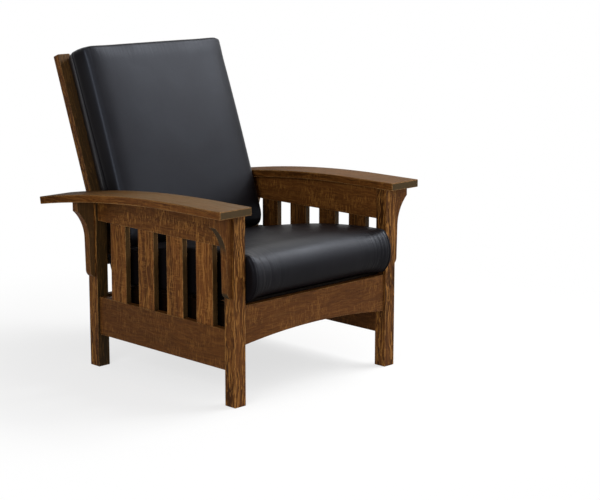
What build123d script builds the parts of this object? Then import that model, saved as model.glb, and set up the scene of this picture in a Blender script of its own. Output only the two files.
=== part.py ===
from build123d import *
from math import asin, cos, degrees, radians, sin, sqrt, tan
import os

# The chair faces minus Y, its width runs along X and it is the same on both sides of X zero
# The fixed frame, measured over its legs
frame_width = 722
frame_depth = 714
leg_width = 44.5
leg_foot_chamfer = 1.5

# Bow arms, level in front and bending down to the rear
arm_height = 623.5
arm_thickness = 25
arm_side_overhang = 80
arm_inner_overhang = 3.5
arm_front_overhang = 27.5
arm_rear_overhang = 153.5
arm_level_length = 177.5
arm_bend_radius = 4200
arm_edge_chamfer = 1.8

# Side panels
side_rail_thickness = 22
side_rail_setback = 8
bottom_rail_underside = 110.5
bottom_rail_height = 128
top_rail_height = 103
slat_width = 76
slat_thickness = 19
slat_count = 4

# Front rail with its arched lower edge
front_rail_drop = 7.5
front_rail_height = 123.5
front_rail_arch = 21
front_rail_setback = 6

# Joinery
tenon_thickness = 10
tenon_length = 18
tenon_shoulder = 10
slat_tenon_width = 60
slat_tenon_length = 8
arm_tenon_width = 26
arm_tenon_length = 14
joint_clearance = 0.2
seat_clearance = 0.3

# Corbels
corbel_thickness = 25
corbel_reach = 67
corbel_length = 258
corbel_nose = 30
corbel_neck = 22
corbel_tail = 19.5
corbel_cove = 100
corbel_foot = 24

# Back frame, leaning back about its pivot bolts
back_tilt = 20
back_recline = 10
pivot_inset = 9.6
pivot_rise = 26
back_side_gap = 17.5
stile_width = 48
stile_depth = 27
stile_top = 711
stile_chamfer = 2
crest_height = 72
crest_drop = 6
back_rail_height = 60
back_rail_start = 30
back_rail_thickness = 22
back_slat_height = 50
back_slat_thickness = 14
back_slat_count = 4
back_tenon_length = 15
back_tenon_shoulder = 6

# Pivot bolts and their spacers
bolt_diameter = 8
bolt_head_diameter = 17
bolt_head_thickness = 4
bolt_grip = 26
running_clearance = 0.08
spacer_diameter = 22

# Support rod and its notched racks
rod_diameter = 12.7
rod_below_arm_top = 1.5
rod_end_gap = 1.5
rack_side_gap = 3
rack_tooth_pitch = 14.8
rack_notch_depth = 3.5
rack_lug_length = 47
rack_lug_drop = 1.2
rack_below_arm = 13
rack_wall_gap = 2.2
rack_rear_wall = 6

# Seat frame, a loose grid of slats that slopes down to the rear
deck_setback = 33
deck_front_height = 322
deck_slope = 3.6
deck_side_gap = 5.5
deck_rear_overhang = 4
deck_member_width = 22
deck_member_height = 34
deck_side_depth = 80
deck_notch_gap = 10
deck_slat_thickness = 11
deck_slat_width = 66
deck_slat_count = 6
cleat_thickness = 22
cleat_height = 30
cleat_end_gap = 16.5
bearer_thickness = 20
bearer_height = 95
bearer_housing = 6

# Screws
screw_diameter = 4
screw_head_diameter = 7.5
screw_head_height = 3
screw_clearance = 0.05
slat_screw_length = 30
rack_screw_length = 25
cleat_screw_length = 36
cleat_screw_shares = (-0.85, -0.3, 0.3, 0.85)
rack_lug_screw_shares = (0.22, 0.78)

# Seat cushion
seat_side_gap = 6.5
seat_front_overhang = 39
seat_rear_overhang = 3
seat_thickness = 150
seat_nose_height = 70
seat_nose_depth = 25
seat_nose_under = 40
seat_top_rise = 22
seat_crown = 5
seat_edge_draw = 8
seat_rear_round = 40
seat_rear_bulge = 6
seat_rear_edge_share = 0.68
cushion_gap = 7

# Back cushion
cushion_side_overhang = 6
cushion_bottom = 20
cushion_top = 698
cushion_front = 168
cushion_crown = 10
cushion_top_crown = 3
cushion_rear_draw = 78
cushion_top_draw = 7
cushion_front_draw = 10
cushion_edge_drop = 4
cushion_nose_height = 38
cushion_nose_depth = 36

# Cushion sections from the middle to the end, then how far each is drawn in
seat_section_shares = ((0, 0), (0.45, 0), (0.8, 0.04), (0.935, 0.2), (0.98, 0.55), (1, 1))
cushion_section_shares = (
    (0, 0, 0, 0),
    (0.45, 0, 0, 0),
    (0.87, 0, 0.05, 0),
    (0.95, 0.57, 0.25, 0.2),
    (0.985, 0.85, 0.6, 0.55),
    (1, 1, 1, 1),
)

os.makedirs("parts", exist_ok=True)
sides = {"left": -1, "right": 1}
tilt = radians(back_tilt)
recline = radians(back_recline)


def save(piece, name):
    piece.part.label = name
    export_step(piece.part, f"parts/{name}.step")


def mirrored(sections):
    return [(-row[0], *row[1:]) for row in sections[:0:-1]] + list(sections)


# The origin lies on the floor, midway between the seat cushion's front and the tops of the back stiles
pivot_depth = frame_depth - pivot_inset
back_reach = pivot_depth + (stile_top - stile_chamfer) * sin(tilt) + stile_depth / 2 * cos(tilt)
front_y = -(back_reach - seat_front_overhang) / 2
rear_y = front_y + frame_depth
mid_y = (front_y + rear_y) / 2
half_width = frame_width / 2
leg_x = half_width - leg_width / 2
leg_ys = {"front": front_y + leg_width / 2, "rear": rear_y - leg_width / 2}
inner_x = half_width - leg_width
panel_length = frame_depth - 2 * leg_width
pivot_y = front_y + pivot_depth
pivot_height = deck_front_height + pivot_rise

# The arm's bow as seen from the side
arm_front_y = front_y - arm_front_overhang
arm_rear_y = rear_y + arm_rear_overhang
bend_y = arm_front_y + arm_level_length
arm_inner_x = inner_x - arm_inner_overhang
arm_width = half_width + arm_side_overhang - arm_inner_x
arm_x = arm_inner_x + arm_width / 2
bend_angle = degrees(asin((arm_rear_y - bend_y) / arm_bend_radius))
under_radius = arm_bend_radius - arm_thickness
under_height = arm_height - arm_thickness


def arm_underside(y):
    run = max(0, y - bend_y)
    return arm_height - arm_bend_radius + sqrt(under_radius**2 - run**2)


with BuildPart() as above_arms:
    with BuildSketch(Plane.YZ):
        with BuildLine():
            level = Line((arm_front_y, under_height), (bend_y, under_height))
            bow = JernArc(level @ 1, (1, 0), under_radius, -bend_angle)
            over_height = arm_height + arm_thickness
            Polyline(bow @ 1, ((bow @ 1).X, over_height), (arm_front_y, over_height), level @ 0)
        make_face()
    extrude(amount=half_width + arm_side_overhang, both=True)

# The rod lies behind the stiles, just below the level of the arms' top faces
rod_radius = rod_diameter / 2
rod_behind = stile_depth / 2 + seat_clearance + rod_radius
rod_track_radius = arm_bend_radius - rod_below_arm_top - rod_radius
track_y = pivot_y + rod_behind * cos(tilt) - bend_y
track_z = pivot_height - rod_behind * sin(tilt) - (arm_height - arm_bend_radius)
along = track_y * sin(tilt) + track_z * cos(tilt)
rod_up_back = sqrt(along**2 - track_y**2 - track_z**2 + rod_track_radius**2) - along
rod_y = pivot_y + rod_behind * cos(tilt) + rod_up_back * sin(tilt)
rod_z = pivot_height - rod_behind * sin(tilt) + rod_up_back * cos(tilt)
rod_slope = asin((rod_y - bend_y) / rod_track_radius)
reclined = tilt + recline
rod_lag = rod_behind - (rod_y - pivot_y) * cos(reclined) + (rod_z - pivot_height) * sin(reclined)
rod_travel = rod_lag / cos(reclined - rod_slope)
rack_notches = max(1, int(rod_travel / rack_tooth_pitch)) + 1
rack_plane_dir = (0, cos(rod_slope), -sin(rod_slope))
notch_pitch = rod_travel / (rack_notches - 1)
back_half_width = inner_x - back_side_gap
rack_inner_x = back_half_width + rack_side_gap
rack_thickness = arm_inner_x - rack_inner_x
rack_tip = -rod_radius - seat_clearance
rack_front_wall = -rod_radius - rack_wall_gap
rack_front_end = rack_front_wall - rack_lug_length
rack_lug_top = rod_radius + rod_below_arm_top - rack_lug_drop
arm_under_rack = rod_radius + rod_below_arm_top - arm_thickness
rack_floor = arm_under_rack - rack_below_arm
lug_screw_height = (rack_lug_top + arm_under_rack) / 2
tooth_screw_height = (rack_tip - rack_notch_depth + arm_under_rack + arm_edge_chamfer) / 2
lug_screw_xs = [rack_front_end + share * rack_lug_length for share in rack_lug_screw_shares]
rack_screw_spots = [(x, lug_screw_height) for x in lug_screw_xs]
rack_screw_spots.append((rod_travel - notch_pitch / 2, tooth_screw_height))


def rack_plane(x):
    return Plane(origin=(x, rod_y, rod_z), x_dir=rack_plane_dir, z_dir=(1, 0, 0))


def screws(places, length, clearance=0, mode=Mode.ADD):
    shank = screw_diameter / 2 + clearance
    head = screw_head_diameter / 2 + clearance
    top = (Align.CENTER, Align.CENTER, Align.MAX)
    with Locations(*places):
        Cylinder(shank, length + clearance, align=top, mode=mode)
        Cone(shank, head, screw_head_height + clearance, align=top, mode=mode)


rack_screw_places = {}
for name, side in sides.items():
    plane = rack_plane(side * rack_inner_x)
    spots = [plane.from_local_coords((x, y, 0)) for x, y in rack_screw_spots]
    rack_screw_places[name] = [Location(spot, (0, -90 * side, 0)) for spot in spots]

# Arms
for name, side in sides.items():
    with BuildPart() as arm:
        with BuildSketch(Plane.YZ.offset(side * arm_x)):
            with BuildLine():
                top = Line((arm_front_y, arm_height), (bend_y, arm_height))
                top_bow = JernArc(top @ 1, (1, 0), arm_bend_radius, -bend_angle)
                under = Line((arm_front_y, under_height), (bend_y, under_height))
                under_bow = JernArc(under @ 1, (1, 0), under_radius, -bend_angle)
                Line(top_bow @ 1, under_bow @ 1)
                Line(under @ 0, top @ 0)
            make_face()
        extrude(amount=arm_width / 2, both=True)
        bend_edges = arm.edges().filter_by(Axis.X).sort_by(Axis.Y)[2:4]
        chamfer(arm.edges() - bend_edges, length=arm_edge_chamfer)
        for leg_y in leg_ys.values():
            arm_mortise = arm_tenon_width + 2 * joint_clearance
            with Locations((side * leg_x, leg_y, arm_underside(leg_y))):
                Box(arm_mortise, arm_mortise, 2 * (arm_tenon_length + joint_clearance), mode=Mode.SUBTRACT)
        screws(rack_screw_places[name], rack_screw_length, screw_clearance, Mode.SUBTRACT)
    save(arm, f"arm_{name}")

# Side rails and slats share one centre line in the legs
rail_x = half_width - side_rail_setback - side_rail_thickness / 2
rail_inner_x = rail_x - side_rail_thickness / 2
top_rail_underside = under_height - top_rail_height
bottom_rail_top = bottom_rail_underside + bottom_rail_height
bottom_rail_z = bottom_rail_underside + bottom_rail_height / 2
bottom_tenon_height = bottom_rail_height - 2 * tenon_shoulder
top_tenon_height = arm_underside(rear_y - leg_width) - top_rail_underside - 2 * tenon_shoulder
top_tenon_z = top_rail_underside + tenon_shoulder + top_tenon_height / 2
slat_gap = (panel_length - slat_count * slat_width) / (slat_count + 1)
first_slat_y = front_y + leg_width + slat_gap + slat_width / 2
slat_ys = [first_slat_y + i * (slat_width + slat_gap) for i in range(slat_count)]
slat_length = top_rail_underside - bottom_rail_top
mortise_thickness = tenon_thickness + 2 * joint_clearance
slat_mortise_width = slat_tenon_width + 2 * joint_clearance
slat_mortise_depth = 2 * (slat_tenon_length + joint_clearance)

# The seat frame's plane starts at the front edge of its slats' top faces and runs down to the rear
deck_y = front_y + deck_setback
slope = radians(deck_slope)
deck_plane = Plane(origin=(0, deck_y, deck_front_height), x_dir=(1, 0, 0), z_dir=(0, sin(slope), cos(slope)))
deck_frame_plane = deck_plane.offset(-deck_slat_thickness)
deck_base_plane = deck_frame_plane.offset(-deck_member_height)
deck_half_width = inner_x - deck_side_gap
bearer_y = rear_y - leg_width - slat_gap / 2
bearer_rear_y = bearer_y + bearer_thickness / 2
deck_length = (bearer_rear_y + deck_rear_overhang - deck_y) / cos(slope)
bearer_floor = deck_front_height - (bearer_y - deck_y) * tan(slope) - bearer_height - deck_member_height

for name, side in sides.items():
    with BuildPart() as bottom_rail:
        with Locations((side * rail_x, mid_y, bottom_rail_z)):
            Box(side_rail_thickness, panel_length, bottom_rail_height)
            Box(tenon_thickness, panel_length + 2 * tenon_length, bottom_tenon_height)
        with Locations([(side * rail_x, y, bottom_rail_top) for y in slat_ys]):
            Box(mortise_thickness, slat_mortise_width, slat_mortise_depth, mode=Mode.SUBTRACT)
        with Locations((side * rail_inner_x, bearer_y, bearer_floor - joint_clearance)):
            Box(
                2 * (bearer_housing + joint_clearance),
                bearer_thickness + 2 * joint_clearance,
                bearer_height + deck_member_height,
                align=(Align.CENTER, Align.CENTER, Align.MIN),
                mode=Mode.SUBTRACT,
            )
    save(bottom_rail, f"side_bottom_rail_{name}")

    with BuildPart() as top_rail:
        with Locations((side * rail_x, mid_y, (top_rail_underside + arm_height) / 2)):
            Box(side_rail_thickness, panel_length, arm_height - top_rail_underside)
        add(above_arms.part, mode=Mode.SUBTRACT)
        with Locations((side * rail_x, mid_y, top_tenon_z)):
            Box(tenon_thickness, panel_length + 2 * tenon_length, top_tenon_height)
        with Locations([(side * rail_x, y, top_rail_underside) for y in slat_ys]):
            Box(mortise_thickness, slat_mortise_width, slat_mortise_depth, mode=Mode.SUBTRACT)
    save(top_rail, f"side_top_rail_{name}")

    for number, slat_y in enumerate(slat_ys, 1):
        with BuildPart() as side_slat:
            with Locations((side * rail_x, slat_y, bottom_rail_top + slat_length / 2)):
                Box(slat_thickness, slat_width, slat_length)
                Box(tenon_thickness, slat_tenon_width, slat_length + 2 * slat_tenon_length)
        save(side_slat, f"side_slat_{name}_{number}")

# Front rail and rear rail between the legs
front_rail_y = front_y + front_rail_setback + side_rail_thickness / 2
front_rail_top = deck_front_height - front_rail_drop
front_rail_bottom = front_rail_top - front_rail_height
front_rail_z = front_rail_top - front_rail_height / 2
front_tenon_height = front_rail_height - 2 * tenon_shoulder
rear_rail_y = rear_y - side_rail_setback - side_rail_thickness / 2
cleat_y = front_rail_y + side_rail_thickness / 2 + cleat_thickness / 2
cleat_rear_y = cleat_y + cleat_thickness / 2
cleat_top = deck_front_height - deck_slat_thickness - deck_member_height
cleat_half_length = inner_x - cleat_end_gap
cleat_screw_z = cleat_top - cleat_height / 2
cleat_screw_spots = [(cleat_half_length * share, cleat_rear_y, cleat_screw_z) for share in cleat_screw_shares]
cleat_screw_places = [Location(spot, (-90, 0, 0)) for spot in cleat_screw_spots]

with BuildPart() as front_rail:
    with BuildSketch(Plane.XZ.offset(-front_rail_y)):
        with BuildLine():
            left_foot = (-inner_x, front_rail_bottom)
            right_foot = (inner_x, front_rail_bottom)
            Polyline(left_foot, (-inner_x, front_rail_top), (inner_x, front_rail_top), right_foot)
            ThreePointArc(left_foot, (0, front_rail_bottom + front_rail_arch), right_foot)
        make_face()
    extrude(amount=side_rail_thickness / 2, both=True)
    for side in sides.values():
        with Locations((side * (inner_x + tenon_length / 2), front_rail_y, front_rail_z)):
            Box(tenon_length, tenon_thickness, front_tenon_height)
    screws(cleat_screw_places, cleat_screw_length, screw_clearance, Mode.SUBTRACT)
save(front_rail, "front_rail")

with BuildPart() as rear_rail:
    with Locations((0, rear_rail_y, bottom_rail_z)):
        Box(2 * inner_x, side_rail_thickness, bottom_rail_height)
        Box(2 * (inner_x + tenon_length), tenon_thickness, bottom_tenon_height)
save(rear_rail, "rear_rail")

# Front cleat and rear bearer, cut to the slope of the seat frame that they carry
with BuildPart() as front_cleat:
    with Locations((0, cleat_y, cleat_top)):
        Box(2 * cleat_half_length, cleat_thickness, 2 * cleat_height)
    split(bisect_by=deck_base_plane, keep=Keep.BOTTOM)
    screws(cleat_screw_places, cleat_screw_length, screw_clearance, Mode.SUBTRACT)
save(front_cleat, "front_cleat")

with BuildPart() as rear_bearer:
    with Locations((0, bearer_y, bearer_floor)):
        Box(
            2 * (rail_inner_x + bearer_housing),
            bearer_thickness,
            bearer_height + deck_member_height,
            align=(Align.CENTER, Align.CENTER, Align.MIN),
        )
    split(bisect_by=deck_base_plane, keep=Keep.BOTTOM)
save(rear_bearer, "rear_bearer")

# Legs, with arm tenons, rail mortises and the rear pair's bolt holes
bolt_hole_radius = bolt_diameter / 2 + running_clearance
mortise_length = 2 * (tenon_length + joint_clearance)
bottom_mortise_height = bottom_tenon_height + 2 * joint_clearance
top_mortise_height = top_tenon_height + 2 * joint_clearance
for name, side in sides.items():
    for end, leg_y in leg_ys.items():
        front = end == "front"
        panel_face_y = leg_y + leg_width / 2 if front else leg_y - leg_width / 2
        cross_y = front_rail_y if front else rear_rail_y
        cross_z = front_rail_z if front else bottom_rail_z
        cross_height = front_tenon_height if front else bottom_tenon_height
        with BuildPart() as leg:
            with Locations((side * leg_x, leg_y, arm_height / 2)):
                Box(leg_width, leg_width, arm_height)
            chamfer(leg.faces().sort_by(Axis.Z)[0].edges(), length=leg_foot_chamfer)
            add(above_arms.part, mode=Mode.SUBTRACT)
            with Locations((side * leg_x, leg_y, arm_underside(leg_y))):
                Box(arm_tenon_width, arm_tenon_width, 2 * arm_tenon_length)
            with Locations((side * rail_x, panel_face_y, bottom_rail_z)):
                Box(mortise_thickness, mortise_length, bottom_mortise_height, mode=Mode.SUBTRACT)
            with Locations((side * rail_x, panel_face_y, top_tenon_z)):
                Box(mortise_thickness, mortise_length, top_mortise_height, mode=Mode.SUBTRACT)
            with Locations((side * inner_x, cross_y, cross_z)):
                Box(mortise_length, mortise_thickness, cross_height + 2 * joint_clearance, mode=Mode.SUBTRACT)
            if not front:
                with Locations(Location((side * inner_x, pivot_y, pivot_height), (0, 90, 0))):
                    Cylinder(bolt_hole_radius, 2 * (bolt_grip + joint_clearance), mode=Mode.SUBTRACT)
        save(leg, f"leg_{end}_{name}")

# Corbels with a short nose, a long cove and a rounded foot
for name, side in sides.items():
    for end, leg_y in leg_ys.items():
        corbel_top = arm_underside(leg_y)
        with BuildPart() as corbel:
            with BuildSketch(Plane.XZ.offset(-leg_y)):
                with BuildLine():
                    nose_x = side * (half_width + corbel_reach)
                    nose_foot = (nose_x, corbel_top - corbel_nose)
                    neck = (side * (half_width + corbel_neck), corbel_top - corbel_nose - corbel_cove)
                    tail = (side * (half_width + corbel_tail), corbel_top - corbel_length + corbel_foot)
                    foot = (side * half_width, corbel_top - corbel_length)
                    Polyline(foot, (side * half_width, arm_height), (nose_x, arm_height), nose_foot)
                    TangentArc(neck, nose_foot, tangent=(0, 1))
                    Line(neck, tail)
                    TangentArc(tail, foot, tangent=(0, -1))
                make_face()
            extrude(amount=corbel_thickness / 2, both=True)
            add(above_arms.part, mode=Mode.SUBTRACT)
        save(corbel, f"corbel_{end}_{name}")

# Seat frame, its side members deeper between the cleat and the bearer
slat_row_gap = (deck_length - deck_slat_count * deck_slat_width) / (deck_slat_count - 1)
slat_rows = [deck_slat_width / 2 + i * (deck_slat_width + slat_row_gap) for i in range(deck_slat_count)]
member_x = deck_half_width - deck_member_width / 2
member_rows = {"front": deck_member_width / 2, "rear": deck_length - deck_member_width / 2}
deep_start = (cleat_rear_y + deck_notch_gap - deck_y) / cos(slope)
deep_end = (bearer_y - bearer_thickness / 2 - deck_notch_gap - deck_y) / cos(slope)


def deck_screw_places(xs, rows):
    return [deck_plane.location * Location((x, row, 0)) for x in xs for row in rows]


for name, side in sides.items():
    with BuildPart() as side_member:
        with BuildSketch(deck_frame_plane):
            with Locations((side * member_x, deck_length / 2)):
                Rectangle(deck_member_width, deck_length)
        extrude(amount=-deck_member_height)
        with BuildSketch(deck_frame_plane):
            with Locations((side * member_x, (deep_start + deep_end) / 2)):
                Rectangle(deck_member_width, deep_end - deep_start)
        extrude(amount=-deck_side_depth)
        places = deck_screw_places([side * member_x], slat_rows)
        screws(places, slat_screw_length, screw_clearance, Mode.SUBTRACT)
    save(side_member, f"seat_frame_{name}")

for name, row in member_rows.items():
    with BuildPart() as cross_member:
        with BuildSketch(deck_frame_plane):
            with Locations((0, row)):
                Rectangle(2 * (deck_half_width - deck_member_width), deck_member_width)
        extrude(amount=-deck_member_height)
    save(cross_member, f"seat_frame_{name}")

for number, row in enumerate(slat_rows, 1):
    with BuildPart() as seat_slat:
        with BuildSketch(deck_plane):
            with Locations((0, row)):
                Rectangle(2 * deck_half_width, deck_slat_width)
        extrude(amount=-deck_slat_thickness)
        places = deck_screw_places([-member_x, member_x], [row])
        screws(places, slat_screw_length, screw_clearance, Mode.SUBTRACT)
    save(seat_slat, f"seat_slat_{number}")

# The back's own plane has X across, Y up the back and Z forward from the pivot
back_plane = Plane(origin=(0, pivot_y, pivot_height), x_dir=(1, 0, 0), z_dir=(0, -cos(tilt), sin(tilt)))
stile_inner_x = back_half_width - stile_width
crest_mid = stile_top - crest_drop - crest_height / 2
back_rail_mid = back_rail_start + back_rail_height / 2
back_slats_start = back_rail_start + back_rail_height
back_space = crest_mid - crest_height / 2 - back_slats_start
back_slat_gap = (back_space - back_slat_count * back_slat_height) / (back_slat_count + 1)
back_slat_pitch = back_slat_height + back_slat_gap
cross_pieces = [("crest_rail", crest_mid, crest_height, back_rail_thickness)]
cross_pieces.append(("back_bottom_rail", back_rail_mid, back_rail_height, back_rail_thickness))
for number in range(1, back_slat_count + 1):
    slat_mid = back_slats_start + number * back_slat_pitch - back_slat_height / 2
    cross_pieces.append((f"back_slat_{number}", slat_mid, back_slat_height, back_slat_thickness))

for name, side in sides.items():
    with BuildPart() as stile:
        stile_x = side * (back_half_width - stile_width / 2)
        stile_origin = (stile_x, pivot_y, pivot_height)
        half_depth = stile_depth / 2
        with BuildSketch(Plane(origin=stile_origin, x_dir=back_plane.z_dir, z_dir=(-1, 0, 0))):
            with BuildLine():
                Polyline((-half_depth, 0), (-half_depth, stile_top), (half_depth, stile_top), (half_depth, 0))
                ThreePointArc((half_depth, 0), (0, -half_depth), (-half_depth, 0))
            make_face()
        extrude(amount=stile_width / 2, both=True)
        up_back = Axis(back_plane.origin, back_plane.y_dir)
        chamfer(stile.faces().sort_by(up_back)[-1].edges(), length=stile_chamfer)
        for piece, mid, height, thickness in cross_pieces:
            with Locations(back_plane.location * Location((side * stile_inner_x, mid, 0))):
                Box(
                    2 * (back_tenon_length + joint_clearance),
                    height - 2 * back_tenon_shoulder + 2 * joint_clearance,
                    mortise_thickness,
                    mode=Mode.SUBTRACT,
                )
        with Locations(Location(stile_origin, (0, 90, 0))):
            Cylinder(bolt_hole_radius, 2 * stile_width, mode=Mode.SUBTRACT)
    save(stile, f"back_stile_{name}")

for name, mid, height, thickness in cross_pieces:
    with BuildPart() as cross_piece:
        with Locations(back_plane.location * Location((0, mid, 0))):
            Box(2 * stile_inner_x, height, thickness)
            Box(2 * (stile_inner_x + back_tenon_length), height - 2 * back_tenon_shoulder, tenon_thickness)
    save(cross_piece, name)

# Pivot bolts with flat heads inside the stiles, and the spacers between stiles and legs
bolt_start = stile_inner_x - seat_clearance - bolt_head_thickness
spacer_start = back_half_width + seat_clearance
outward = (Align.CENTER, Align.CENTER, Align.MIN)
with BuildPart() as pivot_bolts:
    for side in sides.values():
        with Locations(Location((side * bolt_start, pivot_y, pivot_height), (0, 90 * side, 0))):
            Cylinder(bolt_head_diameter / 2, bolt_head_thickness, align=outward)
            Cylinder(bolt_diameter / 2, inner_x + bolt_grip - bolt_start, align=outward)
save(pivot_bolts, "pivot_bolts")

with BuildPart() as pivot_spacers:
    for side in sides.values():
        with Locations(Location((side * spacer_start, pivot_y, pivot_height), (0, 90 * side, 0))):
            Cylinder(spacer_diameter / 2, inner_x - spacer_start, align=outward)
            Cylinder(bolt_hole_radius, inner_x - spacer_start, align=outward, mode=Mode.SUBTRACT)
save(pivot_spacers, "pivot_spacers")

# Support rod
with BuildPart() as support_rod:
    with Locations(Location((0, rod_y, rod_z), (0, 90, 0))):
        Cylinder(rod_radius, 2 * (arm_inner_x - rod_end_gap))
save(support_rod, "support_rod")

# Racks, with a row of shallow notches between a front lug and a rear stop
notch_radius = rod_radius + seat_clearance
notch_half = sqrt(notch_radius**2 - (notch_radius - rack_notch_depth) ** 2)
rack_rear_stop = rod_travel + rod_radius + rack_wall_gap
rack_rear_end = rack_rear_stop + rack_rear_wall
for name, side in sides.items():
    with BuildPart() as rack:
        with BuildSketch(rack_plane(side * (rack_inner_x + rack_thickness / 2))):
            with BuildLine():
                Polyline(
                    (rack_front_wall, rack_tip),
                    (rack_front_wall, rack_lug_top),
                    (rack_front_end, rack_lug_top),
                    (rack_front_end, rack_floor),
                    (rack_rear_end, rack_floor),
                    (rack_rear_end, rack_lug_top),
                    (rack_rear_stop, rack_lug_top),
                    (rack_rear_stop, rack_tip),
                )
                tip_x = rack_front_wall
                for i in range(rack_notches):
                    notch_x = i * notch_pitch
                    Line((tip_x, rack_tip), (notch_x - notch_half, rack_tip))
                    notch_floor = (notch_x, rack_tip - rack_notch_depth)
                    tip_x = notch_x + notch_half
                    ThreePointArc((notch_x - notch_half, rack_tip), notch_floor, (tip_x, rack_tip))
                Line((tip_x, rack_tip), (rack_rear_stop, rack_tip))
            make_face()
        extrude(amount=rack_thickness / 2, both=True)
        screws(rack_screw_places[name], rack_screw_length, screw_clearance, Mode.SUBTRACT)
    save(rack, f"rack_{name}")

# Screws
with BuildPart() as rack_screws:
    for name in sides:
        screws(rack_screw_places[name], rack_screw_length)
save(rack_screws, "rack_screws")

with BuildPart() as cleat_screws:
    screws(cleat_screw_places, cleat_screw_length)
save(cleat_screws, "cleat_screws")

with BuildPart() as seat_slat_screws:
    screws(deck_screw_places([-member_x, member_x], slat_rows), slat_screw_length)
save(seat_slat_screws, "seat_slat_screws")

# Seat cushion, its rear end kept under the slope of the back cushion's lower end
seat_half_width = inner_x - seat_side_gap
seat_rear = deck_length + seat_rear_overhang
lean = tilt - slope
under_y = pivot_y + cushion_bottom * sin(tilt) - deck_y
under_z = pivot_height + cushion_bottom * cos(tilt) - deck_front_height
under_row = under_y * cos(slope) - under_z * sin(slope)
under_rise = under_y * sin(slope) + under_z * cos(slope)
seat_rear_top = seat_rear - seat_rear_round * (1 - seat_rear_edge_share)
seat_rear_height = under_rise + (under_row - seat_rear_top) * tan(lean) - cushion_gap
rear_edge_height = seat_rear_height * seat_rear_edge_share
nose_row = -(deck_setback + seat_front_overhang + seat_nose_height * sin(slope)) / cos(slope)
with BuildPart() as seat_cushion:
    for across, drawn in mirrored(seat_section_shares):
        draw = seat_edge_draw * drawn
        rise = seat_top_rise + seat_crown * (1 - across**2)
        origin = (across * seat_half_width, deck_y, deck_front_height)
        with BuildSketch(Plane(origin=origin, x_dir=deck_plane.y_dir, z_dir=(1, 0, 0))):
            with BuildLine():
                nose = (nose_row + draw / 2, seat_nose_height)
                nose_under = (nose_row + seat_nose_under + draw, seat_clearance)
                nose_top = (nose_row + seat_nose_depth + draw, seat_thickness - draw)
                rear_top = (seat_rear_top - draw, seat_rear_height - draw)
                rear_edge = (seat_rear + rear_edge_height * tan(lean) - draw / 2, rear_edge_height - draw / 2)
                rear_foot = (seat_rear - draw / 2, seat_clearance)
                top_mid = ((nose_top[0] + rear_top[0]) / 2, (nose_top[1] + rear_top[1]) / 2 + rise)
                bulge_x = (rear_top[0] + rear_edge[0]) / 2 + seat_rear_bulge
                bulge_y = (rear_top[1] + rear_edge[1]) / 2 + seat_rear_bulge
                TangentArc(nose, nose_under, tangent=(sin(slope), -cos(slope)))
                TangentArc(nose, nose_top, tangent=(-sin(slope), cos(slope)))
                ThreePointArc(nose_top, top_mid, rear_top)
                ThreePointArc(rear_top, (bulge_x, bulge_y), rear_edge)
                Polyline(rear_edge, rear_foot, nose_under)
            make_face()
    loft(ruled=True)
save(seat_cushion, "seat_cushion")

# Back cushion, resting on the stiles and drawn forward to its rear seam at both sides
cushion_half_width = back_half_width + cushion_side_overhang
cushion_rear = stile_depth / 2 + seat_clearance
with BuildPart() as back_cushion:
    for across, rear_drawn, top_drawn, front_drawn in mirrored(cushion_section_shares):
        rear = cushion_rear + cushion_rear_draw * rear_drawn
        high = cushion_top - cushion_top_draw * top_drawn
        fore = cushion_front - cushion_front_draw * front_drawn
        crown = cushion_crown * (1 - across**2)
        origin = (across * cushion_half_width, pivot_y, pivot_height)
        with BuildSketch(Plane(origin=origin, x_dir=back_plane.z_dir, z_dir=(-1, 0, 0))):
            with BuildLine():
                front_top = (fore - cushion_edge_drop, high)
                front_low = (fore - cushion_edge_drop, cushion_bottom + cushion_nose_height)
                front_mid = (fore + crown, (high + front_low[1]) / 2)
                nose_low = (fore - cushion_edge_drop - cushion_nose_depth, cushion_bottom)
                top_mid = ((rear + fore - cushion_edge_drop) / 2, high + cushion_top_crown)
                Polyline(nose_low, (rear, cushion_bottom), (rear, high))
                ThreePointArc((rear, high), top_mid, front_top)
                ThreePointArc(front_top, front_mid, front_low)
                TangentArc(front_low, nose_low, tangent=(0, -1))
            make_face()
    loft(ruled=True)
save(back_cushion, "back_cushion")
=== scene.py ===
from math import cos, radians, sin

import bpy
import numpy as np
from mathutils import Matrix, Vector


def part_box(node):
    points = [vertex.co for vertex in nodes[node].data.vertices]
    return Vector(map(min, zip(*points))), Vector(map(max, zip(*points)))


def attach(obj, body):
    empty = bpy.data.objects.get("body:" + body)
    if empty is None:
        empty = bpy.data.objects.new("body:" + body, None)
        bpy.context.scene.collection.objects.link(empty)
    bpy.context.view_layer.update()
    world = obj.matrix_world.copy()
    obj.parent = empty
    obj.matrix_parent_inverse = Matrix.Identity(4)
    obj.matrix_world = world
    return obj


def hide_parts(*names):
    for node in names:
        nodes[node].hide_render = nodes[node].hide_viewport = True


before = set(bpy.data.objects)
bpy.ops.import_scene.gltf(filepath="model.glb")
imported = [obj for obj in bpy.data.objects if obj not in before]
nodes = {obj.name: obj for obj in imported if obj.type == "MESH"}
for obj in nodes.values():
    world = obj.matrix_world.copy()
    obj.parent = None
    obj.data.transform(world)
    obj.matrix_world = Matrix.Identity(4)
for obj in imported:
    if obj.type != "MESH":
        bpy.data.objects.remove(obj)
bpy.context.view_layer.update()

scene = bpy.context.scene
pivot = Vector((0, 0.244111, 0.348))  # the back's hinge line
tilt = radians(20)  # the back's recline at rest
deckSlope = radians(3.6)
upBack = Vector((0, sin(tilt), cos(tilt)))  # up along the back
outBack = Vector((0, -cos(tilt), sin(tilt)))  # forward from the back
deckUp = Vector((0, sin(deckSlope), cos(deckSlope)))  # up from the seat frame
deckPoint = Vector((0, -0.427289, 0.3223))  # just above the seat frame's front edge


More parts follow.
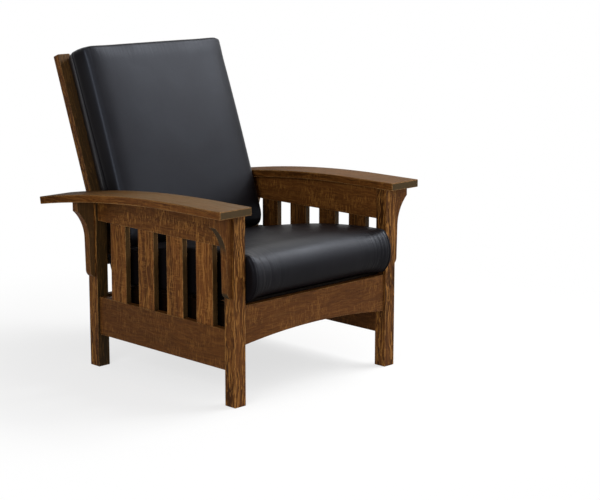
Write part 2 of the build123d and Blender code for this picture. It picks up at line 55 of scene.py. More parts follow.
def addNode(tree, kind, **values):
    node = tree.nodes.new(kind)
    for key, value in values.items():
        if key in node.inputs:
            node.inputs[key].default_value = value
        else:
            setattr(node, key, value)
    return node


def feed(tree, socket, value):
    if isinstance(value, bpy.types.NodeSocket):
        tree.links.new(value, socket)
    else:
        socket.default_value = value


def newMaterial(name):
    material = bpy.data.materials.new(name)
    material.use_nodes = True
    tree = material.node_tree
    tree.nodes.clear()
    shader = tree.nodes.new("ShaderNodeBsdfPrincipled")
    output = tree.nodes.new("ShaderNodeOutputMaterial")
    tree.links.new(shader.outputs["BSDF"], output.inputs["Surface"])
    return material, tree, shader


def ownPlaces(tree, turn, place):
    # the piece's own coordinates, turned so that the pattern's X runs along the piece
    coordinate = addNode(tree, "ShaderNodeTexCoord")
    turned = addNode(tree, "ShaderNodeMapping", vector_type="TEXTURE", Location=place, Rotation=turn)
    tree.links.new(coordinate.outputs["Object"], turned.inputs["Vector"])
    return turned.outputs["Vector"]


def noiseOn(tree, vector, stretch, detail, roughness, distortion=0.0, output="Fac"):
    # noise whose size in each direction comes from the stretch
    mapping = addNode(tree, "ShaderNodeMapping", Scale=stretch)
    noise = addNode(tree, "ShaderNodeTexNoise", Scale=1.0, Detail=detail, Roughness=roughness)
    noise.inputs["Distortion"].default_value = distortion
    tree.links.new(vector, mapping.inputs["Vector"])
    tree.links.new(mapping.outputs["Vector"], noise.inputs["Vector"])
    return noise.outputs[output]


def rampOn(tree, value, low, high, start=0.0, end=1.0):
    span = addNode(tree, "ShaderNodeMapRange", interpolation_type="SMOOTHSTEP")
    for socket, number in zip(span.inputs[1:5], (low, high, start, end)):
        socket.default_value = number
    tree.links.new(value, span.inputs["Value"])
    return span.outputs["Result"]


def mixColours(tree, share, first, second):
    mix = addNode(tree, "ShaderNodeMix", data_type="RGBA")
    feed(tree, mix.inputs[0], share)
    for socket, value in ((mix.inputs[6], first), (mix.inputs[7], second)):
        feed(tree, socket, (*value, 1) if isinstance(value, tuple) else value)
    return mix.outputs[2]


def mathOn(tree, work, first, second):
    node = addNode(tree, "ShaderNodeMath", operation=work)
    feed(tree, node.inputs[0], first)
    feed(tree, node.inputs[1], second)
    return node.outputs[0]


def partsOf(tree, vector):
    parts = addNode(tree, "ShaderNodeSeparateXYZ")
    tree.links.new(vector, parts.inputs[0])
    return parts.outputs


def bumpOn(tree, height, normal=None, **values):
    bump = addNode(tree, "ShaderNodeBump", **values)
    tree.links.new(height, bump.inputs["Height"])
    if normal is not None:
        tree.links.new(normal, bump.inputs["Normal"])
    return bump.outputs["Normal"]


oakColours = {
    "dark": (0.029, 0.0098, 0.0020),
    "light": (0.103, 0.0352, 0.0074),
    "streak": (0.270, 0.1180, 0.0270),
    "pore": (0.008, 0.0028, 0.0008),
    "fleck": (0.240, 0.1030, 0.0230),
    # worn: the arrises' paler colour, partly wear and partly painted highlight
    "worn": (0.360, 0.2000, 0.0750),
    # painted sheen on the arms' tops
    "paintedSheen": (0.170, 0.1150, 0.0600),
    # the darker end grain, also used as painted shade on faces that sit in shade
    "ends": (0.050, 0.0340, 0.0160),
    "shaded": (0.022, 0.0150, 0.0060),
}
oak = {
    "roughness": (0.48, 0.62),
    "specular": 0.055,
    "coat": 0.01,
    "coatRoughness": 0.36,
    "edgeRadius": 0.0026,
    "broadPart": 0.45,
    "bandPart": 0.55,
    "bandMiddle": 0.62,  # how light the wood is where it has no bands
    "darkPart": 0.7,
    "porePart": 0.7,
    "fleckGloss": 0.3,
    "leastPolish": 0.15,
    "polishGain": 1.5,
    "wanderReach": (0.010, 0.030, 0.030),
    "streakHeight": 0.5,
    "bump": {"Strength": 0.22, "Distance": 0.0004},
}
# the noises of the figure: stretch, detail, roughness and distortion, first those that run straight
wanderNoise = ((9, 16, 16), 2, 0.5)
straightFigure = {
    "broad": ((1.7, 13, 13), 2, 0.5, 0.5),
    "pores": ((34, 1500, 1500), 2, 0.5),
    "fleckPatch": ((11, 19, 19), 2, 0.5, 0.4),
}
wavyFigure = {
    "bands": ((2.6, 115, 115), 3, 0.6, 0.3),
    "streaks": ((5.5, 220, 220), 3, 0.6, 0.4),
    "darks": ((11, 230, 230), 3, 0.6, 0.3),
    "flecks": ((270, 36, 36), 1.5, 0.5, 1.2),
}
# the values at which each part starts and is full, and how strong it is at both
oakSpans = {
    "banding": (0.41, 0.57),
    "streak": (0.51, 0.59),
    "fleck": (0.52, 0.60),
    "fleckPatch": (0.42, 0.56, 0.15, 1.0),
    "dark": (0.55, 0.61),
    "pore": (0.60, 0.70),
    "edge": (0.998, 0.90),
    "worn": (0.38, 0.60, 0.1, 0.7),
    "armEdgeWearAndHighlight": (0.38, 0.60, 0.5, 1.0),
    "forward": (0.20, -0.16),  # metres
    # where the painted sheen lies on the faces turned up
    "paintedSheenTop": (0.80, 0.98),
    "topBands": (0.38, 0.62, 1.15, 0.65),
    "gloss": (0.25, 0.75),
}
# which faces are painted darker: their normal's axis, its values where the change starts and ends, and their
# colour; only the arms' darker end grain is the wood's own, the rest is painted shade on faces that sit in
# shade
endFaces = ("Y", 0.80, 0.98, "ends")  # both ends
# painted shade from here on: faces that sit in shade are painted darker, the forward faces under the arms and
# behind the cushion, the slats' faces inside the slots, the rear legs' inner front faces and the corbels'
# coves turned down
paintedShadeFront = ("Y", -0.80, -0.98, "ends")  # only those turned forward
paintedShadeSides = ("Y", 0.80, 0.98, "shaded")
paintedShadeInner = ("Y", -0.80, -0.98, "shaded")
paintedShadeCove = ("Z", 0.02, 0.35, "shaded")


def stainedOak(
    name, turn, place, streakShare, fleckShare, bandShare,
    topSheenShare=0, darkShare=0, darkFaces=endFaces, shade=1,
):
    # turn brings the board's length to the pattern's X, place moves the figure on each board
    material, tree, shader = newMaterial(name)
    # the colours, with the board's painted light and shade multiplied in
    stainAndShade = {key: tuple(shade * part for part in colour) for key, colour in oakColours.items()}
    vector = ownPlaces(tree, turn, place)

    def spread(value, key, *strengths):
        return rampOn(tree, value, *oakSpans[key], *strengths)

    # the grain wanders a few millimetres to each side along the board
    bend = addNode(tree, "ShaderNodeVectorMath", operation="MULTIPLY_ADD")
    bend.inputs[1].default_value = oak["wanderReach"]
    tree.links.new(noiseOn(tree, vector, *wanderNoise, output="Color"), bend.inputs[0])
    tree.links.new(vector, bend.inputs[2])
    wavy = bend.outputs["Vector"]
    broad, pores, fleckPatch = (noiseOn(tree, vector, *values) for values in straightFigure.values())
    bands, streaks, darks, flecks = (noiseOn(tree, wavy, *values) for values in wavyFigure.values())

    tone = mathOn(tree, "MULTIPLY", broad, oak["broadPart"])
    tone = mathOn(tree, "ADD", tone, mathOn(tree, "MULTIPLY", bands, oak["bandPart"]))
    middle = oak["bandMiddle"]
    banding = spread(tone, "banding", middle * (1 - bandShare), middle + (1 - middle) * bandShare)
    colour = mixColours(tree, banding, stainAndShade["dark"], stainAndShade["light"])
    colour = mixColours(tree, spread(streaks, "streak", 0, streakShare), colour, stainAndShade["streak"])
    fleck = spread(flecks, "fleck", 0, fleckShare)
    fleck = mathOn(tree, "MULTIPLY", fleck, spread(fleckPatch, "fleckPatch"))
    colour = mixColours(tree, fleck, colour, stainAndShade["fleck"])
    darkLines = spread(darks, "dark", 0, oak["darkPart"] * bandShare)
    colour = mixColours(tree, darkLines, colour, stainAndShade["dark"])
    pore = spread(pores, "pore")
    colour = mixColours(tree, mathOn(tree, "MULTIPLY", pore, oak["porePart"]), colour, stainAndShade["pore"])

    # the arrises are painted paler: partly wear, partly painted highlight where the light catches them
    edge = addNode(tree, "ShaderNodeBevel", samples=4, Radius=oak["edgeRadius"])
    flat = addNode(tree, "ShaderNodeNewGeometry")
    rounding = addNode(tree, "ShaderNodeVectorMath", operation="DOT_PRODUCT")
    tree.links.new(edge.outputs["Normal"], rounding.inputs[0])
    tree.links.new(flat.outputs["Normal"], rounding.inputs[1])
    broken = spread(streaks, "armEdgeWearAndHighlight" if topSheenShare else "worn")
    edgeWearAndHighlight = mathOn(tree, "MULTIPLY", spread(rounding.outputs["Value"], "edge"), broken)
    facing = partsOf(tree, flat.outputs["Normal"])
    if topSheenShare:
        # painted sheen: the arms' faces turned up are painted paler, a stand-in for the sheen on their tops,
        # and the painted tone runs darker towards the rear
        coordinate = addNode(tree, "ShaderNodeTexCoord")
        forward = spread(partsOf(tree, coordinate.outputs["Object"])["Y"], "forward")
        paintedSheenTop = spread(facing["Z"], "paintedSheenTop", 0, topSheenShare)
        paintedSheenTop = mathOn(tree, "MULTIPLY", paintedSheenTop, spread(bands, "topBands"))
        wearAndSheen = mixColours(tree, forward, stainAndShade["ends"], stainAndShade["paintedSheen"])
        colour = mixColours(tree, paintedSheenTop, colour, wearAndSheen)
        polish = rampOn(tree, forward, 0, 1, oak["leastPolish"], min(1, topSheenShare * oak["polishGain"]))
        level = mathOn(tree, "MULTIPLY", polish, oak["specular"])
        tree.links.new(level, shader.inputs["Specular IOR Level"])
    # painted shade: the chosen faces are painted darker where they sit in shade; only on the arms are the
    # darker faces the end grain's own colour
    if darkShare:
        axis, start, full, key = darkFaces
        along = facing[axis]
        if start > 0:
            along = mathOn(tree, "ABSOLUTE", along, 0)
        colour = mixColours(tree, rampOn(tree, along, start, full, 0, darkShare), colour, stainAndShade[key])
    # painted highlight and wear on the arrises
    colour = mixColours(tree, edgeWearAndHighlight, colour, stainAndShade["worn"])
    tree.links.new(colour, shader.inputs["Base Color"])

    smoother = mathOn(tree, "SUBTRACT", darks, mathOn(tree, "MULTIPLY", fleck, oak["fleckGloss"]))
    tree.links.new(spread(smoother, "gloss", *oak["roughness"]), shader.inputs["Roughness"])
    shader.inputs["Specular IOR Level"].default_value = oak["specular"]
    shader.inputs["Coat Weight"].default_value = oak["coat"]
    shader.inputs["Coat Roughness"].default_value = oak["coatRoughness"]
    height = mathOn(tree, "SUBTRACT", mathOn(tree, "MULTIPLY", streaks, oak["streakHeight"]), pore)
    tree.links.new(bumpOn(tree, height, edge.outputs["Normal"], **oak["bump"]), shader.inputs["Normal"])
    return material


def turnOf(*turns):
    # the turns are made in order, each about a fixed axis
    whole = Matrix.Identity(3)
    for angle, axis in turns:
        whole = Matrix.Rotation(angle, 3, axis) @ whole
    return whole.to_euler()


# which way each board's length runs: the turn that lays the pattern's X along it
grainTurns = {
    "across": turnOf(),
    "along": turnOf((radians(90), "Z")),
    "upright": turnOf((radians(-90), "Y")),
    "back": turnOf((radians(-90), "Y"), (-tilt, "X")),
    "backAcross": turnOf((-tilt, "X")),
    "deck": turnOf((radians(90), "Z"), (-deckSlope, "X")),
}

# the boards by the start of their names: direction of the grain, shares of streaks, ray flecks and bands,
#     of the painted sheen on tops and of darker faces (painted shade, on the arms their end grain), and which
#     faces are dark
boards = {
    "leg_front": ("upright", 0.95, 0.15, 1.00),
    "leg_rear": ("upright", 0.95, 0.15, 1.00, 0, 0.80, paintedShadeInner),
    "corbel_front": ("upright", 0.25, 0.20, 0.45, 0, 0.90, paintedShadeCove),
    "corbel_rear": ("upright", 0.25, 0.20, 0.45, 0, 0.60, paintedShadeFront),
    "side_slat": ("upright", 0.48, 0.32, 0.70, 0, 0.80, paintedShadeSides),
    "side_top_rail_left": ("along", 0.15, 0.90, 0.35),
    "side_top_rail": ("along", 0.20, 0.60, 0.20),
    "side_bottom_rail": ("along", 0.12, 0.35, 0.30),
    "arm_left": ("along", 0.25, 0.30, 0.70, 0.60, 0.90),
    "arm_right": ("along", 0.25, 0.30, 0.70, 0.30, 0.95),
    "front_rail": ("across", 0.15, 0.38, 0.25),
    "rear_rail": ("across", 0.30, 0.45, 0.50),
    "back_stile": ("back", 0.60, 0.20, 0.70, 0, 0.70, paintedShadeFront),
    "back_slat": ("backAcross", 0.40, 0.40, 0.50),
    "crest_rail": ("backAcross", 0.30, 0.60, 0.50),
    "back_bottom_rail": ("backAcross", 0.35, 0.30, 0.50),
    "seat_frame_left": ("deck", 0.35, 0.20, 0.50),
    "seat_frame_right": ("deck", 0.35, 0.20, 0.50),
    "rack_": ("along", 0.30, 0.20, 0.50),
    "": ("across", 0.35, 0.25, 0.50),
}
# painted light and shade: some boards are painted lighter or darker than the others as the light falls on
# them, the seat frame near black where it sits in shade behind the slats
shades = {
    "seat_frame": 0.05,
    "seat_slat_": 0.05,
    "side_top_rail_right": 1.25,
    "side_slat_right": 0.72,
    "side_slat_left": 1.35,
}
figureStep = (0.37, 0.73, 0.51)  # how far the figure moves on from board to board
steelFinish = {
    "colour": (0.30, 0.29, 0.28),
    "worn": (0.46, 0.45, 0.43),
    "roughness": (0.26, 0.46),
    "glossSpan": (0.3, 0.7),
    "brush": ((60, 2600, 2600), 2, 0.6),
    "cloud": ((70, 70, 70), 3, 0.55),
    "bump": {"Strength": 0.12, "Distance": 0.0002},
}


def brushedSteel(name):
    material, tree, shader = newMaterial(name)
    vector = addNode(tree, "ShaderNodeTexCoord").outputs["Object"]
    brush = noiseOn(tree, vector, *steelFinish["brush"])
    cloud = noiseOn(tree, vector, *steelFinish["cloud"])
    colour = mixColours(tree, cloud, steelFinish["colour"], steelFinish["worn"])
    gloss = rampOn(tree, brush, *steelFinish["glossSpan"], *steelFinish["roughness"])
    tree.links.new(colour, shader.inputs["Base Color"])
    tree.links.new(gloss, shader.inputs["Roughness"])
    shader.inputs["Metallic"].default_value = 1
    tree.links.new(bumpOn(tree, brush, **steelFinish["bump"]), shader.inputs["Normal"])
    return material


leather = {
    "deep": (0.0030, 0.0023, 0.0026),
    "raised": (0.0056, 0.0045, 0.0050),
    "wearAndSheen": (0.0078, 0.0064, 0.0071),
    "raisedSpan": (0.2, 0.9),
    "rubbedSpan": (0.35, 0.7, 0, 0.4),
    "roughness": (0.38, 0.44),
    "glossSpan": (0.3, 0.7),
    "sheenColour": (0.70, 0.80, 1.0),
    "pebble": {"Scale": 720, "Smoothness": 0.6},
    "fine": ((1500, 1500, 1500), 2, 0.5),
    "finePart": 0.35,
    "cloud": ((7, 7, 7), 3, 0.55, 0.3),
    "folds": ((95, 7, 7), 2, 0.5, 0.4),
    "soft": ((9, 7, 7), 2, 0.5, 0.3),
    "softPart": 0.5,
    "bump": {"Strength": 0.25, "Distance": 0.0003, "invert": True},
}


def blackLeather(name, turn, place, gathers, shine):
    # gathers gives the axis along which the short folds die out, where they start and end, and their depth,
    # shine the specular level and the steps that change it along an axis
    material, tree, shader = newMaterial(name)
    vector = ownPlaces(tree, turn, place)
    pebble = addNode(tree, "ShaderNodeTexVoronoi", feature="SMOOTH_F1", **leather["pebble"])
    tree.links.new(vector, pebble.inputs["Vector"])
    noises = (noiseOn(tree, vector, *leather[key]) for key in ("fine", "cloud", "folds", "soft"))
    fine, cloud, folds, soft = noises
    fine = mathOn(tree, "MULTIPLY", fine, leather["finePart"])
    grain = mathOn(tree, "ADD", pebble.outputs["Distance"], fine)
    colour = mixColours(tree, rampOn(tree, grain, *leather["raisedSpan"]), leather["raised"], leather["deep"])
    colour = mixColours(tree, rampOn(tree, cloud, *leather["rubbedSpan"]), colour, leather["wearAndSheen"])
    gloss = rampOn(tree, cloud, *leather["glossSpan"], *leather["roughness"])
    tree.links.new(colour, shader.inputs["Base Color"])
    tree.links.new(gloss, shader.inputs["Roughness"])
    shader.inputs["Specular Tint"].default_value = (*leather["sheenColour"], 1)

    parts = partsOf(tree, vector)
    reaches = [mathOn(tree, "ABSOLUTE", parts[0], 0), parts[1], parts[2]]
    level = shine["level"]
    for axis, span in shine["steps"]:
        level = mathOn(tree, "MULTIPLY", level, rampOn(tree, reaches[axis], *span))
    tree.links.new(level, shader.inputs["Specular IOR Level"])

    near = rampOn(tree, reaches[gathers["axis"]], *gathers["span"])
    folded = mathOn(tree, "MULTIPLY", folds, near)
    folded = mathOn(tree, "ADD", folded, mathOn(tree, "MULTIPLY", soft, leather["softPart"]))
    wrinkled = bumpOn(tree, folded, Strength=1.0, Distance=gathers["depth"])
    tree.links.new(bumpOn(tree, grain, wrinkled, **leather["bump"]), shader.inputs["Normal"])
    return material


def dress(piece, material):
    piece.data.materials.clear()
    piece.data.materials.append(material)


def valueFor(table, name):
    # the first row whose key the name starts with
    return next(value for start, value in table.items() if name.startswith(start))


screwNodes = ("rack_screws", "cleat_screws", "seat_slat_screws")
steelNodes = ("pivot_bolts", "pivot_spacers", "support_rod", *screwNodes)
cushionNodes = ("seat_cushion", "back_cushion")
steel = brushedSteel("brushedSteel")
for number, name in enumerate(sorted(nodes)):
    if name in cushionNodes:
        continue
    if name in steelNodes:
        dress(nodes[name], steel)
        continue
    direction, *shares = valueFor(boards, name)
    # the board's painted light and shade
    shade = valueFor({**shades, "": 1}, name)
    place = tuple(step * count for step, count in zip(figureStep, (number, number % 7, number % 5)))
    dress(nodes[name], stainedOak("oak_" + name, grainTurns[direction], place, *shares, shade=shade))
print("oak and steel done")

cushionMaking = {
    "merge": 0.00002,
    "voxel": 0.007,
    "rounding": 3,  # how often every point is drawn to its neighbours
    "roundingShare": 0.5,
    "blending": 160,  # the same for the broad faces
    "blendingShare": 0.6,
    "startIn": 0.0005,
    "frames": 20,
    "sink": 0.001,  # how far the cover may draw in
    "cap": 0.006,  # how far it may swell
    "slide": 0.4,  # share of the movement along the surface that is kept
    "settling": 40,
    "grooveWidth": 0.008,
    "grooveDepth": 0.0016,
}
clothSettings = {
    "quality": 5,
    "mass": 0.3,
    "tension_stiffness": 15,
    "compression_stiffness": 15,
    "shear_stiffness": 8,
    "bending_stiffness": 12,
    "air_damping": 1.5,
    "vertex_group_mass": "seam",
    "pin_stiffness": 1,
    "use_pressure": True,
    "uniform_pressure_force": 4.0,
}
weltMaking = {
    "merge": 0.0012,
    "smoothing": {"factor": 0.5, "repeat": 3},
    "resolution": 2,
}


def deselectAll():
    if bpy.context.mode != "OBJECT":
        bpy.ops.object.mode_set(mode="OBJECT")
    bpy.ops.object.select_all(action="DESELECT")


def workOn(piece):
    deselectAll()
    piece.select_set(True)
    bpy.context.view_layer.objects.active = piece


def editMesh(piece):
    workOn(piece)
    bpy.ops.object.mode_set(mode="EDIT")
    bpy.ops.mesh.select_all(action="SELECT")


def copyNode(node, name):
    piece = bpy.data.objects.new(name, nodes[node].data.copy())
    scene.collection.objects.link(piece)
    editMesh(piece)
    bpy.ops.mesh.remove_doubles(threshold=cushionMaking["merge"])
    bpy.ops.mesh.normals_make_consistent(inside=False)
    bpy.ops.object.mode_set(mode="OBJECT")
    return piece


def applyModifier(piece, kind, **values):
    workOn(piece)
    modifier = piece.modifiers.new(kind.lower(), kind)
    for key, value in values.items():
        setattr(modifier, key, value)
    bpy.ops.object.modifier_apply(modifier=modifier.name)


def vertexValues(piece, kind):
    flat = np.empty(len(piece.data.vertices) * 3)
    piece.data.vertices.foreach_get(kind, flat)
    return flat.reshape(-1, 3)


def setPoints(piece, places):
    piece.data.vertices.foreach_set("co", places.ravel())
    piece.data.update()


def ease(values, start, end):
    # runs smoothly from 0 at the start to 1 at the end
    share = np.clip((values - start) / (end - start), 0, 1)
    return share * share * (3 - 2 * share)


def relax(piece, values, share, repeat):
    # draws each vertex's values towards those of its neighbours
    ends = np.empty(len(piece.data.edges) * 2, dtype=int)
    piece.data.edges.foreach_get("vertices", ends)
    first, second = ends[::2], ends[1::2]
    count = len(values)
    linked = np.bincount(ends, minlength=count)
    for _ in range(repeat):
        for column in range(values.shape[1]):
            old = values[:, column]
            total = np.bincount(first, old[second], count) + np.bincount(second, old[first], count)
            values[:, column] = old + share * (total / linked - old)
    return values


# each cushion's own values, the pairs give where a change starts and where it is full
seatMaking = {
    "line": 0.0152,  # where it meets the back cushion, up along the back
    "lineUp": (-0.045, -0.012),
    "lineOut": (0.175, 0.125),
    "broadSide": (0.298, 0.262),
    "seamAcross": 0.300,
    "weltRadius": 0.0026,
    "folds": {"axis": 0, "span": (0.12, 0.29, 0.05, 1.0), "depth": 0.0028},
    "shine": {
        "level": 0.125,
        "steps": [
            (0, (0.296, 0.312, 1, 0.3)),
            (1, (-0.37, -0.45, 0.26, 1)),
            (2, (0.335, 0.435, 0.08, 1)),
            (2, (0.443, 0.468, 1, 2.2)),
        ],
    },
}
backMaking = {
    "line": 0.0160,
    "lineUp": (0.060, 0.030),
    "lineOut": (0.150, 0.115),
    "broadSide": (0.292, 0.262),
    "broadFoot": (0.035, 0.075),
    "broadTop": (0.690, 0.660),
    "broadFront": (0.11, 0.14),
    "seamUp": 0.44,
    "seamOut": 0.098,
    "seamLean": radians(2),
    "topLimit": 0.7015,
    "rearLimit": 0.0138,
    "weltRadius": 0.0020,
    "folds": {"axis": 2, "span": (0.62, 0.69, 0.0, 0.5), "depth": 0.0020},
    "shine": {
        "level": 0.122,
        "steps": [
            (0, (0.278, 0.292, 1, 1.9)),
            (0, (0.297, 0.305, 1, 0.06)),
            (2, (0.25, 0.66, 0.95, 1.12)),
        ],
    },
}


def backPlaces(at):
    # how far up along the back and how far forward from it the points lie
    fromPivot = at - np.array(pivot)
    return fromPivot @ np.array(upBack), fromPivot @ np.array(outBack)


def backPoint(up=0, out=0):
    return pivot + upBack * up + outBack * out


def pressOnto(at, making):
    # the cushion fills up to the line where it meets the other one
    up, out = backPlaces(at)
    fill = ease(up, *making["lineUp"]) * ease(out, *making["lineOut"])
    return at + (fill * (making["line"] - up))[:, None] * np.array(upBack)


def swellOut(piece, outward, seam):
    # the cover is blown up a little, held at its seams
    start = vertexValues(piece, "co") - cushionMaking["startIn"] * outward
    setPoints(piece, start)
    piece.vertex_groups.new(name="seam").add([int(i) for i in np.flatnonzero(seam)], 1, "REPLACE")
    workOn(piece)
    cloth = piece.modifiers.new("cloth", "CLOTH")
    for key, value in clothSettings.items():
        setattr(cloth.settings, key, value)
    cloth.settings.effector_weights.gravity = 0
    cloth.collision_settings.use_collision = False
    for number in range(1, cushionMaking["frames"] + 1):
        scene.frame_set(number)
    bpy.ops.object.modifier_apply(modifier="cloth")
    scene.frame_set(1)
    moved = vertexValues(piece, "co") - start
    swell = (moved * outward).sum(axis=1)[:, None]
    slide = (moved - swell * outward) * cushionMaking["slide"]
    print(piece.name, "swelled by", np.round(np.percentile(swell, (0, 5, 50, 95, 100)), 4))
    kept = np.clip(swell, -cushionMaking["sink"], cushionMaking["cap"]) * outward + slide
    kept = relax(piece, kept, cushionMaking["roundingShare"], cushionMaking["settling"])
    setPoints(piece, start + kept)
    piece.vertex_groups.clear()


def stuffCushion(piece, making, broadAt, seamAt, limits):
    # broadAt is 1 on the broad faces, seamAt the distance from the seams, limits are planes to stay within
    applyModifier(piece, "REMESH", mode="VOXEL", voxel_size=cushionMaking["voxel"], use_smooth_shade=True)
    places = pressOnto(vertexValues(piece, "co"), making)
    broad = broadAt(places)
    places = relax(piece, places, cushionMaking["blendingShare"] * broad, cushionMaking["blending"])
    places = relax(piece, places, cushionMaking["roundingShare"], cushionMaking["rounding"])
    setPoints(piece, places)
    apart = seamAt(vertexValues(piece, "co"))
    outward = vertexValues(piece, "normal")
    swellOut(piece, outward, apart < cushionMaking["voxel"] / 2)
    groove = cushionMaking["grooveDepth"] * np.exp(-((apart / cushionMaking["grooveWidth"]) ** 2))
    places = vertexValues(piece, "co") - groove[:, None] * outward
    for origin, beyondWay in limits:
        beyond = (places - np.array(origin)) @ np.array(beyondWay)
        places -= np.maximum(beyond, 0)[:, None] * np.array(beyondWay)
    setPoints(piece, places)
    applyModifier(piece, "SUBSURF", levels=1, render_levels=1)
    piece.data.shade_smooth()


def cutWelt(piece, name, origin, outward, radius):
    # a cord in its leather, laid along the cushion's cut at one plane
    welt = bpy.data.objects.new(name, piece.data.copy())
    scene.collection.objects.link(welt)
    editMesh(welt)
    bpy.ops.mesh.bisect(plane_co=origin, plane_no=outward, clear_inner=True, clear_outer=True)
    bpy.ops.mesh.select_all(action="SELECT")
    bpy.ops.mesh.remove_doubles(threshold=weltMaking["merge"])
    bpy.ops.mesh.vertices_smooth(**weltMaking["smoothing"])
    bpy.ops.object.mode_set(mode="OBJECT")
    bpy.ops.object.convert(target="CURVE")
    welt = bpy.context.object
    welt.data.bevel_depth = radius
    welt.data.bevel_resolution = weltMaking["resolution"]
    bpy.ops.object.convert(target="MESH")
    welt = bpy.context.object
    welt.data.shade_smooth()
    print(name, len(welt.data.polygons), "faces")
    return welt


def seatBroad(at):
    return ease(np.abs(at[:, 0]), *seatMaking["broadSide"])


def seatSeam(at):
    return np.abs(np.abs(at[:, 0]) - seatMaking["seamAcross"])


seatLow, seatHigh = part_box("seat_cushion")
seat = copyNode("seat_cushion", "seatCushionCover")
seatLimits = [
    ((seatHigh.x, 0, 0), (1, 0, 0)),
    ((seatLow.x, 0, 0), (-1, 0, 0)),
    (backPoint(up=seatMaking["line"]), upBack),
    (deckPoint, -deckUp),
]
stuffCushion(seat, seatMaking, seatBroad, seatSeam, seatLimits)

# the back cushion's rear seam leans a little, farther forward at its foot
lean = backMaking["seamLean"]
seamPoint = backPoint(up=backMaking["seamUp"], out=backMaking["seamOut"])
seamOut = (outBack * cos(lean) + upBack * sin(lean)).normalized()


def backBroad(at):
    up, out = backPlaces(at)
    broad = ease(np.abs(at[:, 0]), *backMaking["broadSide"])
    for values, span in ((up, "broadFoot"), (up, "broadTop"), (out, "broadFront")):
        broad *= ease(values, *backMaking[span])
    return broad


def backSeam(at):
    return np.abs((at - np.array(seamPoint)) @ np.array(seamOut))


backLow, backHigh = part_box("back_cushion")
back = copyNode("back_cushion", "backCushionCover")
backLimits = [
    ((backHigh.x, 0, 0), (1, 0, 0)),
    ((backLow.x, 0, 0), (-1, 0, 0)),
    (backPoint(up=backMaking["line"]), -upBack),
    (backPoint(up=backMaking["topLimit"]), upBack),
    (backPoint(out=backMaking["rearLimit"]), -outBack),
]
stuffCushion(back, backMaking, backBroad, backSeam, backLimits)

backTurn = turnOf((-tilt, "X"))
dress(seat, blackLeather("seatLeather", turnOf(), (0, 0, 0), seatMaking["folds"], seatMaking["shine"]))
dress(back, blackLeather("backLeather", backTurn, tuple(pivot), backMaking["folds"], backMaking["shine"]))
across, radius = seatMaking["seamAcross"], seatMaking["weltRadius"]
seatWelts = [
    cutWelt(seat, "seatWelt" + side, (sign * across, 0, 0.4), (1, 0, 0), radius)
    for side, sign in (("Left", -1), ("Right", 1))
]
backWelt = cutWelt(back, "backWeltRear", seamPoint, seamOut, backMaking["weltRadius"])
for piece, node, body in ((seat, "seat_cushion", "frame"), (back, "back_cushion", "back")):
    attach(piece, body)
    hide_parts(node)
for welt, body in ((seatWelts[0], "frame"), (seatWelts[1], "frame"), (backWelt, "back")):
    dress(welt, (back if body == "back" else seat).data.materials[0])
    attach(welt, body)
print("cushions done")

# the studio
studio = {
    "floorColour": (0.90, 0.90, 0.90),
    "floorSize": 60,
    "floorRoughness": 0.9,
    "floorSpecular": 0.1,
    "glowSpan": (0.5, 1.7, 0.7, 1.0),  # metres from the middle, and how white the floor is seen there
    "airLight": 0.30,
    "target": Vector((0, 0, 0.5)),
}
lamps = {
    "keyRight": {"at": (2.8, -1.5, 3.0), "size": 1.8, "power": 105},
    "softRight": {"at": (2.6, -2.9, 2.1), "size": 2.0, "power": 46},
    "fillLeft": {"at": (-3.0, -1.4, 1.7), "size": 1.8, "power": 52},
    "frontSoft": {"at": (-0.6, -4.0, 2.3), "size": 1.6, "power": 8},
    "topSoft": {"at": (1.5, -0.5, 2.7), "size": 0.60, "power": 22},
}
photoView = {
    "at": (-3.6408, -4.03846, 1.48822),
    "turn": (78.43806, -0.07579, -44.82587),  # degrees
    "lens": 99.0616,
    "sensor": 36,
}


def seenRays(tree):
    # 1 for the rays that show the background, 0 for those that light the chair
    path = addNode(tree, "ShaderNodeLightPath")
    seen = mathOn(tree, "MAXIMUM", path.outputs["Is Camera Ray"], path.outputs["Is Glossy Ray"])
    return mathOn(tree, "MAXIMUM", seen, path.outputs["Is Transmission Ray"])


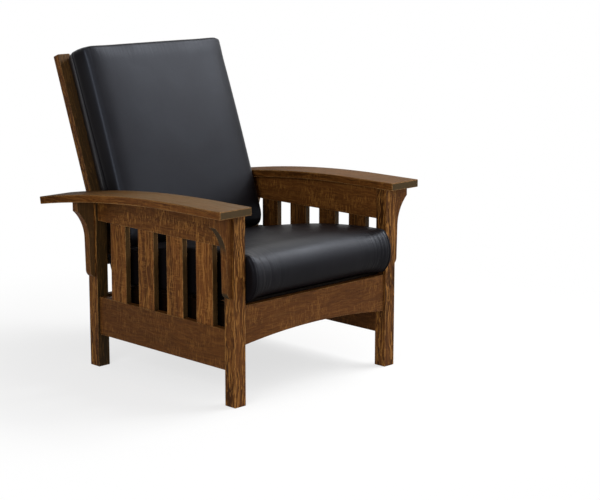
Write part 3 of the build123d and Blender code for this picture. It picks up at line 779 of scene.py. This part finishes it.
deselectAll()
bpy.ops.mesh.primitive_plane_add(size=studio["floorSize"], location=(0, 0, 0))
floor = bpy.context.object
floor.name = "studioFloor"
bpy.ops.object.transform_apply(location=True, rotation=True, scale=True)
floorMaterial, tree, shader = newMaterial("floorPaint")
shader.inputs["Base Color"].default_value = (*studio["floorColour"], 1)
shader.inputs["Roughness"].default_value = studio["floorRoughness"]
shader.inputs["Specular IOR Level"].default_value = studio["floorSpecular"]
coordinate = addNode(tree, "ShaderNodeTexCoord")
distance = addNode(tree, "ShaderNodeVectorMath", operation="LENGTH")
tree.links.new(coordinate.outputs["Object"], distance.inputs[0])
fade = rampOn(tree, distance.outputs["Value"], *studio["glowSpan"])
glow = addNode(tree, "ShaderNodeEmission", Strength=1.0)
blend = addNode(tree, "ShaderNodeMixShader")
tree.links.new(mathOn(tree, "MULTIPLY", seenRays(tree), fade), blend.inputs[0])
tree.links.new(shader.outputs["BSDF"], blend.inputs[1])
tree.links.new(glow.outputs["Emission"], blend.inputs[2])
output = next(node for node in tree.nodes if node.type == "OUTPUT_MATERIAL")
tree.links.new(blend.outputs["Shader"], output.inputs["Surface"])
dress(floor, floorMaterial)

world = bpy.data.worlds.new("studioAir")
scene.world = world
world.use_nodes = True
tree = world.node_tree
tree.nodes.clear()
air = addNode(tree, "ShaderNodeBackground", Color=(1, 1, 1, 1))
worldOutput = addNode(tree, "ShaderNodeOutputWorld")
tree.links.new(rampOn(tree, seenRays(tree), 0, 1, studio["airLight"], 1.0), air.inputs["Strength"])
tree.links.new(air.outputs["Background"], worldOutput.inputs["Surface"])

for name, values in lamps.items():
    light = bpy.data.lights.new(name, "AREA")
    light.shape = "SQUARE"
    light.size = values["size"]
    light.energy = values["power"]
    lamp = bpy.data.objects.new(name, light)
    scene.collection.objects.link(lamp)
    lamp.location = values["at"]
    lamp.rotation_euler = (studio["target"] - lamp.location).to_track_quat("-Z", "Y").to_euler()

camera = bpy.data.objects.new("studioCamera", bpy.data.cameras.new("studioCamera"))
scene.collection.objects.link(camera)
camera.location = photoView["at"]
camera.rotation_euler = [radians(angle) for angle in photoView["turn"]]
camera.data.lens = photoView["lens"]
camera.data.sensor_width = photoView["sensor"]
scene.camera = camera
scene.view_settings.view_transform = "Standard"
print("studio done")
